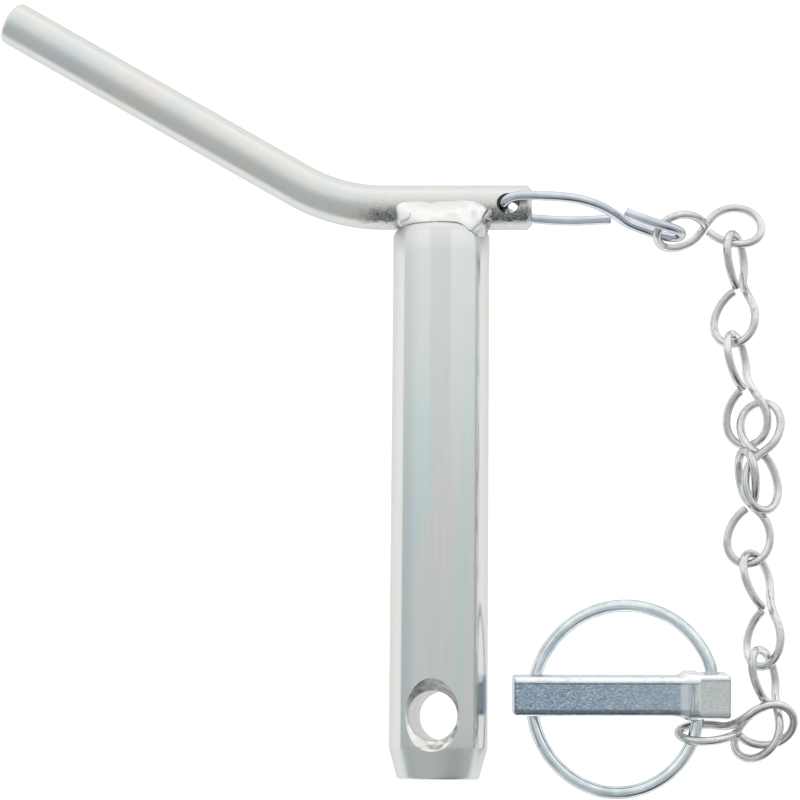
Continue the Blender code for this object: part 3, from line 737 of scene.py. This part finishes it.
# ---------------------------------------------------------------- welds
def curve_through(knots):
    """Smooth value y(x) through given (x, y) knots."""
    xs = [k[0] for k in knots]

    def value(x):
        if x <= xs[0]:
            return knots[0][1]
        if x >= xs[-1]:
            return knots[-1][1]
        i = max(j for j in range(len(xs) - 1) if xs[j] <= x)
        x0, y0 = knots[i]
        x1, y1 = knots[i + 1]
        xa, ya = knots[max(i - 1, 0)]
        xb, yb = knots[min(i + 2, len(knots) - 1)]
        m0 = (y1 - ya) / max(x1 - xa, 1e-6)
        m1 = (yb - y0) / max(xb - x0, 1e-6)
        h, u = x1 - x0, (x - x0) / (x1 - x0)
        return ((2 * u ** 3 - 3 * u ** 2 + 1) * y0 + (u ** 3 - 2 * u ** 2 + u) * h * m0
                + (3 * u ** 2 - 2 * u ** 3) * y1 + (u ** 3 - u ** 2) * h * m1)
    return value


def bar_top(x, y):
    centre = BAR_Y - ARM_SLOPE * x
    d = y - centre
    if abs(d) >= BAR_R or x > ARM_END:
        return -20.0
    return x * math.sin(math.radians(BAR_ROLL)) + math.sqrt(BAR_R ** 2 - d * d)


def bump_at(x, y, cx, cy, rx, ry, sharp=2.0):
    d = ((x - cx) / rx) ** 2 + ((y - cy) / ry) ** 2
    return math.exp(-d ** (sharp / 2))


def patch_solid(name, x0, x1, low, high, height, across=64, along=150, under=2.2, dark=None):
    """Closed lump under a height field between two edge curves, seen from above."""
    bm = bmesh.new()
    crevice_shade = bm.verts.layers.float.new("crevice_shade")
    top, bottom = [], []
    for i in range(along + 1):
        u = 0.5 - 0.5 * math.cos(math.pi * i / along)
        x = x0 + (x1 - x0) * (0.35 * i / along + 0.65 * u)
        a, b = low(x), high(x)
        if b < a + 0.05:
            b = a + 0.05
        row_t, row_b = [], []
        for j in range(across + 1):
            v = 0.5 - 0.5 * math.cos(math.pi * j / across)
            y = a + (b - a) * v
            z = height(x, y, v, (i / along))
            row_t.append(bm.verts.new((x * MM, y * MM, z * MM)))
            # Per-vertex strength of the painted shade in the gaps.
            row_t[-1][crevice_shade] = dark(x, y, v, i / along) if dark else 0.0
            row_b.append(bm.verts.new((x * MM, y * MM, (z - under) * MM)))
        top.append(row_t)
        bottom.append(row_b)
    for i in range(along):
        for j in range(across):
            bm.faces.new((top[i][j], top[i + 1][j], top[i + 1][j + 1], top[i][j + 1]))
            bm.faces.new((bottom[i][j], bottom[i][j + 1], bottom[i + 1][j + 1], bottom[i + 1][j]))
    for i in range(along):
        bm.faces.new((top[i][0], bottom[i][0], bottom[i + 1][0], top[i + 1][0]))
        bm.faces.new((top[i][across], top[i + 1][across], bottom[i + 1][across], bottom[i][across]))
    for j in range(across):
        bm.faces.new((top[0][j], top[0][j + 1], bottom[0][j + 1], bottom[0][j]))
        bm.faces.new((top[along][j], bottom[along][j], bottom[along][j + 1], top[along][j + 1]))
    bmesh.ops.recalc_face_normals(bm, faces=bm.faces)
    mesh = D.meshes.new(name)
    bm.to_mesh(mesh)
    bm.free()
    return mesh


def front_weld():
    low = curve_through([(-12.7, 146.4), (-12.5, 145.6), (-12.0, 144.7), (-11.4, 144.0), (-10.7, 143.3), (-10.0, 142.95),
                         (-8.6, 143.05), (-6.0, 143.08), (-2.0, 143.1), (2.0, 143.08), (4.2, 142.95),
                         (5.6, 142.3), (6.8, 141.4), (7.7, 140.85), (8.5, 141.6), (9.3, 142.5), (10.2, 143.2),
                         (10.8, 145.0), (11.5, 146.3), (12.4, 147.1)])
    high = curve_through([(-12.7, 146.5), (-12.5, 147.6), (-11.8, 149.0), (-10.2, 149.8), (-8.0, 150.1),
                          (-5.0, 150.15), (-3.0, 149.95), (-0.5, 150.2), (2.5, 150.25), (6.0, 150.3),
                          (8.4, 149.95), (10.2, 149.2), (11.4, 148.5), (12.4, 147.3)])

    ridge = curve_through([(-12.7, 3.0), (-12.0, 4.9), (-11.0, 6.4), (-9.5, 7.6), (-8.0, 8.95), (-6.0, 10.3),
                           (-3.0, 11.5), (0.0, 11.9), (3.0, 11.6), (5.6, 11.0), (7.7, 10.35), (9.3, 9.4),
                           (10.8, 8.4), (12.4, 7.3)])
    fold = [(-8.20, 146.1), (-8.25, 145.2), (-8.55, 144.55), (-9.3, 144.15), (-10.1, 143.95)]

    def from_fold(x, y):
        best = 9.0
        for (xa, ya), (xb, yb) in zip(fold, fold[1:]):
            t = ((x - xa) * (xb - xa) + (y - ya) * (yb - ya)) / ((xb - xa) ** 2 + (yb - ya) ** 2)
            t = min(max(t, 0.0), 1.0)
            best = min(best, math.hypot(x - xa - (xb - xa) * t, y - ya - (yb - ya) * t))
        return best

    def height(x, y, v, u):
        a, b = ridge(x), bar_top(x, high(x)) + 0.1
        z = a + (b - a) * v
        z += (1.0 - 0.35 * max(0.0, abs(x) - 8.5) / 3.8) * (4 * v * (1 - v)) ** 0.8
        z += 0.30 * bump_at(x, y, -10.6, 146.1, 2.3, 2.4, 6)
        z += 0.16 * bump_at(x, y, -5.8, 146.6, 2.6, 2.6) + 0.22 * bump_at(x, y, 2.0, 146.9, 4.2, 2.6)
        z += 0.26 * bump_at(x, y, 8.6, 146.0, 2.8, 3.2, 3) - 0.22 * bump_at(x, y, 8.3, 145.5, 1.0, 1.2)
        near = from_fold(x, y)
        z -= 0.16 * math.exp(-(near / 0.20) ** 2)
        z += 0.05 * math.sin(1.7 * x + 0.8 * y) * math.sin(1.1 * y - 0.6 * x)
        lip_low, lip_high = v * (high(x) - low(x)), (1 - v) * (high(x) - low(x))
        end = min(u, 1 - u) * 25.1
        z -= (0.05 + 0.4 * max(0.0, abs(x) - 6.0) / 6.4) * math.exp(-(lip_low / 0.09) ** 2)
        z -= 0.45 * math.exp(-(lip_high / 0.12) ** 2)
        z -= 1.1 * math.exp(-(end / 0.45) ** 2) + 0.5 * math.exp(-(end / 1.1) ** 2)
        return z

    # Painted shade: how dark the lower edge of the bead is along its length.
    toe_shade = curve_through([(-12.7, 0.45), (-11.0, 0.30), (-9.5, 0.10), (-6.0, 0.06), (0.0, 0.10), (3.0, 0.22), (5.0, 0.45),
                         (7.0, 0.70), (9.0, 0.85), (12.4, 0.90)])

    # Painted shade in the gaps: along the lower edge, under the upper lip, in the fold, in the dimple and at both
    # ends.
    def dark(x, y, v, u):
        lip_low, lip_high = v * (high(x) - low(x)), (1 - v) * (high(x) - low(x))
        d = toe_shade(x) * math.exp(-(lip_low / 0.20) ** 2)
        d = max(d, 0.30 * math.exp(-(lip_high / 0.10) ** 2))
        d = max(d, 0.55 * math.exp(-(from_fold(x, y) / 0.13) ** 2))
        d = max(d, 0.16 * bump_at(x, y, 8.4, 145.5, 0.8, 1.2))
        return max(d, 0.6 * math.exp(-(min(u, 1 - u) * 25.1 / 0.35) ** 2))
    return patch_solid("weld", -12.7, 12.4, low, high, height, under=2.6, dark=dark)


def side_weld():
    """Small folded lump that closes the right end of the bead.  Each point is
    x, y, z and the strength of the painted shade in the gaps around it."""
    pts = {
        "l": (7.9, 140.6, 10.1, 0.0), "a": (8.5, 142.0, 9.8, 0.45), "b": (10.1, 144.0, 8.8, 0.6),
        "c": (11.1, 145.7, 7.7, 0.75), "d": (12.2, 147.5, 6.9, 0.5), "e": (12.95, 147.9, 6.7, 0.25),
        "f": (13.5, 146.4, 6.2, 0.18), "g": (13.45, 144.9, 4.95, 0.22), "h": (12.75, 143.6, 3.1, 0.45),
        "i": (12.2, 141.9, 3.8, 0.5), "j": (11.2, 140.1, 6.5, 0.25), "k": (9.5, 139.85, 8.7, 0.0),
        "m": (10.9, 142.9, 8.2, 0.0), "n": (11.8, 143.7, 7.2, 0.8), "o": (12.0, 142.0, 5.2, 0.8),
        "q": (11.5, 144.8, 7.7, 0.45), "p": (9.7, 141.5, 9.05, 0.0),
    }
    faces = ["lap", "apm", "abm", "bmn", "bnq", "bcq", "cdq", "dqf", "def", "fgq", "gqn", "ghn", "hno", "hio", "mno",
             "moj", "oij", "pmj", "pjk", "lpk"]
    bm = bmesh.new()
    crevice_shade = bm.verts.layers.float.new("crevice_shade")
    verts = {}
    for key, (x, y, z, dark) in pts.items():
        verts[key] = bm.verts.new(Vector((x, y, z)) * MM)
        verts[key][crevice_shade] = dark
    for f in faces:
        bm.faces.new([verts[c] for c in f])
    root = bm.verts.new(Vector((9.8, 144.0, 3.0)) * MM)
    rim = "labcdefghijk"
    for c, d in zip(rim, rim[1:] + rim[0]):
        bm.faces.new((verts[c], root, verts[d]))
    bmesh.ops.recalc_face_normals(bm, faces=bm.faces)
    mesh = D.meshes.new("weld_side")
    bm.to_mesh(mesh)
    bm.free()
    obj = new_object("weld_side", mesh)
    mod = obj.modifiers.new("bevel", "BEVEL")
    mod.width = 0.16 * MM
    mod.segments = 3
    mod.limit_method = "ANGLE"
    mod.angle_limit = math.radians(12)
    apply_modifiers(obj)
    return obj


def build_welds():
    front = new_object("weld", front_weld())
    side = side_weld()
    for obj in (front, side):
        obj.data.materials.append(M_WELD)
        shade(obj, 50)
        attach(obj, "frame")
    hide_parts("weld_bead")
    rear_low = curve_through([(-10.6, 145.8), (-10.2, 144.2), (-9.0, 143.3), (-4.0, 143.1), (4.0, 143.1),
                              (9.0, 143.3), (10.2, 144.2), (10.6, 145.8)])
    rear_high = curve_through([(-10.6, 145.9), (-10.0, 148.0), (-8.0, 149.3), (-3.0, 149.8), (3.0, 149.7),
                               (8.0, 149.2), (10.0, 148.0), (10.6, 145.9)])

    def height(x, y, v, u):
        front_z = math.sqrt(max(11.4 ** 2 - x * x, 0.0)) * (1 - 0.2 * max(0.0, abs(x) - 7) / 3.6)
        back_z = max(bar_top(-x, 2 * BAR_Y - rear_high(x)), 1.0)
        z = front_z + (back_z - front_z) * v + 0.9 * (4 * v * (1 - v)) ** 0.8
        z += 0.12 * math.sin(x * 1.25) + 0.06 * math.sin(2.3 * x + 1.3 * y)
        lip = min(v, 1 - v) * (rear_high(x) - rear_low(x))
        end = min(u, 1 - u) * 21.2
        return z - 0.75 * math.exp(-(lip / 0.16) ** 2) - 0.9 * math.exp(-(end / 0.45) ** 2)
    mesh = patch_solid("weld_rear", -10.6, 10.6, rear_low, rear_high, height, 40, 100, 1.8)
    mesh.transform(Matrix.Diagonal((1, 1, -1, 1)))
    mesh.flip_normals()
    rear = new_object("weld_rear", mesh)
    rear.data.materials.append(M_WELD)
    shade(rear, 50)
    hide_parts("weld_bead_rear")
    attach(rear, "frame")


# ---------------------------------------------------------------- connector
def connector_route():
    roll = math.radians(BAR_ROLL)
    eye = Vector((EYE_AT * math.cos(roll), BAR_Y - EYE_AT * ARM_SLOPE, EYE_AT * math.sin(roll)))
    down = Vector((math.sin(roll), 0, -math.cos(roll)))
    wall = Vector((-1.18 * math.cos(roll), -0.25, -1.18 * math.sin(roll)))
    front = [(48.6, 148.1, 1.6), (52.5, 146.4, 2.5), (55.9, 145.1, 2.7), (58.6, 144.4, 2.4)]
    turn = [(61.0, 143.9, 1.4), (62.9, 143.5, -0.3), (63.7, 143.2, -2.4), (63.4, 142.9, -4.3),
            (62.1, 143.0, -5.9), (59.1, 143.5, -6.6), (55.8, 144.5, -6.2)]
    rise = [(49.6, 146.1, -3.2), (46.6, 147.5, -0.6), (43.3, 148.8, 2.4), (39.8, 149.7, 5.0),
            (35.4, 150.4, 7.2), (30.9, 150.7, 8.3), (24.3, 150.8, 9.0), (21.0, 150.8, 9.0),
            (18.5, 150.5, 8.6), (17.0, 150.0, 7.4)]
    through = [eye + wall + down * d for d in (-5.6, -3.0, 0.0, 2.6)]
    under = [(18.1, 149.2, -5.2), (19.5, 148.7, -6.6), (21.5, 148.5, -7.1), (24.2, 148.3, -7.2),
             (27.7, 147.9, -7.0), (35.6, 147.4, -6.0), (42.7, 147.4, -4.4), (45.1, 147.4, -4.0)]
    return front + turn + rise + through + under


def build_connector():
    points = relaxed(resample(spline_through(connector_route(), 12), 220), 6)
    obj = new_object("connector", tube("connector", points, CONNECTOR_R, 28))
    for m in (M_CONNECTOR, M_CUT):
        obj.data.materials.append(m)
    shade(obj, 40)
    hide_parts("connector_link")
    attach(obj, "connector")


# ---------------------------------------------------------------- chain
def half_loop(count):
    m = LOOP_FULLNESS
    k = (1 + m) / (2 + m)
    widest = 2 * k ** ((1 + m) / 2) * math.sqrt(1 - k)
    scale = LOOP_WIDTH / 2 / widest
    first = 2 * math.asin(math.sqrt(LOOP_END_GAP / LOOP_LENGTH))
    last = 2 * math.pi - 2 * math.asin(math.sqrt(LOOP_START / LOOP_LENGTH))
    out = []
    for i in range(count):
        p = first + (last - first) * i / (count - 1)
        out.append((LOOP_LENGTH * math.sin(p / 2) ** 2, -scale * math.sin(p) * math.sin(p / 2) ** m))
    return out


def link_points(twist, bend, count):
    t, b = math.radians(twist) / 2, math.radians(bend)
    loop = half_loop(96)
    one = [Vector((w * math.cos(t), a * math.cos(b), w * math.sin(t) - a * math.sin(b))) for a, w in loop]
    two = [Vector((-w * math.cos(t), -a * math.cos(b), w * math.sin(t) - a * math.sin(b)))
           for a, w in reversed(loop)]
    p0, p1 = one[-1], two[0]
    t0, t1 = (one[-1] - one[-2]).normalized(), (two[1] - two[0]).normalized()
    d = (p1 - p0).length * WAIST_TENSION
    strand = []
    for i in range(1, 25):
        u = i / 25
        strand.append((2 * u ** 3 - 3 * u ** 2 + 1) * p0 + (u ** 3 - 2 * u ** 2 + u) * d * t0
                      + (3 * u ** 2 - 2 * u ** 3) * p1 + (u ** 3 - u ** 2) * d * t1)
    return relaxed(resample(one + strand + two, count), 2)


def build_chain():
    for i, (at, turn, twist, bend) in enumerate(LINKS):
        name = "link_wire_%d" % (i + 1)
        obj = new_object(name, tube(name, link_points(twist, bend, 170), CHAIN_R, 22))
        placed(obj, at, turn)
        bake_transform(obj)
        for m in (M_CHAIN[i % 3], M_CUT):
            obj.data.materials.append(m)
        shade(obj, 40)
        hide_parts("chain_link_%d" % (i + 1))
        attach(obj, "link_%d" % (i + 1))


# ---------------------------------------------------------------- ring and linch pin
def ring_point(deg):
    pull_in = 3.9 * max(0.0, (deg - 255.0) / 90.0) ** 1.45
    r = RING_RADIUS + 0.45 * math.cos(math.radians(2 * deg - 120)) - pull_in
    a = math.radians(deg)
    return Vector((r * math.cos(a), r * math.sin(a), 0))


def ring_world(p):
    return Matrix.Rotation(math.radians(-RING_TILT), 3, "Y") @ p + Vector(RING_CENTRE)


def build_ring():
    start, end = ring_point(RING_FROM), ring_point(RING_TO)
    inward = (end - start).normalized()
    ease, count = 2.2, 220
    arc = [ring_point(RING_FROM + ease + (RING_TO - RING_FROM - 2 * ease) * i / (count - 1))
           for i in range(count)]
    path = [start + inward * STUB, start + inward * 0.9] + arc + [end - inward * 0.9, end - inward * STUB]
    path = relaxed(resample([ring_world(p) for p in path], 260), 3)
    obj = new_object("ring_wire", tube("ring_wire", path, RING_R, 32))
    for m in (M_RING, M_CUT):
        obj.data.materials.append(m)
    shade(obj, 40)
    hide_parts("linch_ring")
    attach(obj, "ring")


def build_pin():
    stations = []
    for (x0, w0, h0, r0), (x1, w1, h1, r1) in zip(PIN_SECTIONS, PIN_SECTIONS[1:]):
        parts = 12 if x1 - x0 > 5 else 3
        for k in range(parts):
            t = k / parts
            stations.append((x0 + (x1 - x0) * t, w0 + (w1 - w0) * t, h0 + (h1 - h0) * t, r0 + (r1 - r0) * t))
    stations.append(PIN_SECTIONS[-1])
    sections = [[(x, p, q) for p, q in rounded_rectangle(w, h, r)] for x, w, h, r in stations]
    side_points, corner_points = 4, 9
    block = corner_points + side_points

    def worn(k):
        """1 on a corner, worn by rubbing and given a painted highlight, 0.5 on the painted shade line beside it, 0 on
        a flat.
        """
        corner, k = divmod(k, block)
        if k >= corner_points:
            return (0.5, 0.0, 0.0, 0.5)[k - corner_points]
        # Painted shade: part of this corner takes the dark line and a weaker highlight.
        if corner == 1 and k < 5:
            return (0.5, 0.5, 0.55, 0.75, 0.9)[k]
        return 1.0
    pin = new_object("pin_body", loft("pin_body", sections, worn))
    placed(pin, PIN_TIP, PIN_TURN)
    bake_transform(pin)
    upper, lower = ring_world(ring_point(RING_FROM)), ring_world(ring_point(RING_TO))
    mid, axis = (upper + lower) / 2, upper - lower
    half = axis.length / 2
    wide = 2.95
    hole = [(0, half + 6), (wide, half + 6), (wide, half - 0.1), (HINGE_R, half - 1.9),
            (HINGE_R, 1.9 - half), (wide, 0.1 - half), (wide, -half - 6), (0, -half - 6)]
    drill = new_object("hinge_drill", turned("hinge_drill", hole, 64))
    drill.location = mid * MM
    drill.rotation_euler = axis.to_track_quat("Z", "Y").to_euler()
    for m in (M_PIN, M_HOLE):
        pin.data.materials.append(m)
        drill.data.materials.append(m)
    for f in drill.data.polygons:
        f.material_index = 1
    cut(pin, drill)
    shade(pin, 30)
    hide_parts("linch_pin")
    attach(pin, "linch_pin")


# ---------------------------------------------------------------- studio
def build_studio():
    floor_mesh = D.meshes.new("floor")
    x0, x1, y0, y1 = -0.150, 0.125, -0.035, 0.235
    floor_mesh.from_pydata([(x0, y0, 0), (x1, y0, 0), (x1, y1, 0), (x0, y1, 0)], [], [(0, 1, 2, 3)])
    floor = new_object("floor", floor_mesh)
    floor.location = (0, 0, -SHANK_R * MM - 0.00005)
    mat = D.materials.new("pale_floor")
    mat.use_nodes = True
    b = mat.node_tree.nodes["Principled BSDF"]
    b.inputs["Base Color"].default_value = (0.30, 0.30, 0.30, 1)
    b.inputs["Roughness"].default_value = 0.9
    b.inputs["Specular IOR Level"].default_value = 0.0
    b.inputs["Emission Color"].default_value = (1, 1, 0.985, 1)
    b.inputs["Emission Strength"].default_value = 0.92
    floor.data.materials.append(mat)
    build_sky()
    build_camera()


class Sky(Nodes):
    def __init__(self, name):
        world = D.worlds.new(name)
        SCENE.world = world
        world.use_nodes = True
        self.tree = world.node_tree


def build_sky():
    """Soft light tent: bright behind the part, greyer toward the viewer's side,
    a pale floor all round below the horizon and a narrow dim seam above it."""
    n = Sky("studio")
    tc = n.tree.nodes.new("ShaderNodeTexCoord")
    sep = n.tree.nodes.new("ShaderNodeSeparateXYZ")
    n.link(tc.outputs["Generated"], sep.inputs[0])
    x, y, z = sep.outputs
    half = n.math("MULTIPLY_ADD", y, 0.5)
    half.node.inputs[2].default_value = 0.5
    cool, warm = (0.965, 1.0, 0.995), (1.0, 0.995, 0.975)
    stops = [(-1.0, 0.62, cool), (-0.70, 0.62, cool), (-0.30, 0.62, cool), (-0.12, 0.68, cool), (0.0, 0.76, cool),
             (0.10, 0.84, cool), (0.18, 1.02, (0.96, 1.0, 0.99)), (0.32, 1.12, (0.98, 1.0, 0.98)),
             (0.50, 1.20, warm), (0.72, 1.28, warm), (1.0, 1.32, warm)]
    dome = n.ramp(half, [((v + 1) / 2, tuple(c * level / 1.4 for c in col)) for v, level, col in stops])
    # overhead boom, a little darker than the tent, with dim borders
    ax = n.math("ABSOLUTE", n.math("SUBTRACT", x, -0.01), 0.0)
    inside = n.math("MULTIPLY", n.span(ax, 1.0, 0.0, 0.375, 0.395), n.span(y, 0.0, 1.0, 0.11, 0.16))
    edge = n.math("MULTIPLY", n.math("MULTIPLY", n.span(ax, 0.0, 1.0, 0.33, 0.36), n.span(ax, 1.0, 0.0, 0.375, 0.395)),
                  n.span(y, 0.0, 1.0, 0.11, 0.16))
    up = n.span(z, 0.0, 1.0, 0.3, 0.5)
    shade_up = n.math("SUBTRACT", 1.0, n.math("MULTIPLY", n.math("MULTIPLY", inside, 0.10), up))
    shade_up = n.math("SUBTRACT", shade_up, n.math("MULTIPLY", n.math("MULTIPLY", edge, 0.05), up))
    # dim opening low on the viewer's side
    aim = n.tree.nodes.new("ShaderNodeVectorMath")
    aim.operation = "DOT_PRODUCT"
    aim.inputs[1].default_value = (0.36, -0.90, 0.24)
    n.link(tc.outputs["Generated"], aim.inputs[0])
    close = aim.outputs["Value"]
    opening = n.math("MULTIPLY", n.span(close, 0.0, 0.42, 0.74, 0.90), n.span(z, 0.0, 1.0, -0.10, -0.02))
    core = n.math("MULTIPLY", n.span(close, 0.0, 0.42, 0.93, 0.98), n.span(z, 0.0, 1.0, -0.06, 0.0))
    opening = n.math("ADD", opening, core)
    shade_all = n.math("MULTIPLY", shade_up, n.math("SUBTRACT", 1.0, opening))
    # left wall a little greyer near the horizon
    wall = n.math("MULTIPLY", n.span(x, 0.12, 0.0, -0.95, -0.5), n.span(z, 1.0, 0.0, 0.2, 0.6))
    shade_all = n.math("MULTIPLY", shade_all, n.math("SUBTRACT", 1.0, wall))
    # seam between tent and floor
    depth = n.span(x, 0.05, 0.36, -0.2, 0.5)
    seam = n.math("MULTIPLY", depth, n.span(z, 1.0, 0.0, -0.05, 0.02))
    shade_all = n.math("MULTIPLY", shade_all, n.math("SUBTRACT", 1.0, seam))
    level = n.math("MULTIPLY", shade_all, 1.4)
    lit = n.tree.nodes.new("ShaderNodeVectorMath")
    lit.operation = "SCALE"
    n.link(dome, lit.inputs[0])
    n.link(level, lit.inputs["Scale"])
    below = n.span(z, 1.0, 0.0, -0.145, -0.135)
    color = n.mix(below, lit.outputs[0], (1.18, 1.18, 1.16))
    bg = n.tree.nodes["Background"]
    n.link(color, bg.inputs["Color"])
    bg.inputs["Strength"].default_value = 1.0


def build_camera():
    cam = D.cameras.new("camera")
    cam.lens = 103.14
    cam.sensor_width = 36.0
    cam.sensor_fit = "HORIZONTAL"
    cam.clip_start, cam.clip_end = 0.01, 20.0
    obj = D.objects.new("camera", cam)
    SCENE.collection.objects.link(obj)
    obj.location = (0.003034, 0.01244, 0.594433)
    obj.rotation_euler = Euler([math.radians(a) for a in (8.1930878, 1.23695845, 0.52185638)], "XYZ")
    SCENE.camera = obj
    SCENE.view_settings.view_transform = "Standard"
    SCENE.view_settings.look = "None"


build_shank()
build_handle()
build_welds()
build_connector()
build_chain()
build_ring()
build_pin()
build_studio()
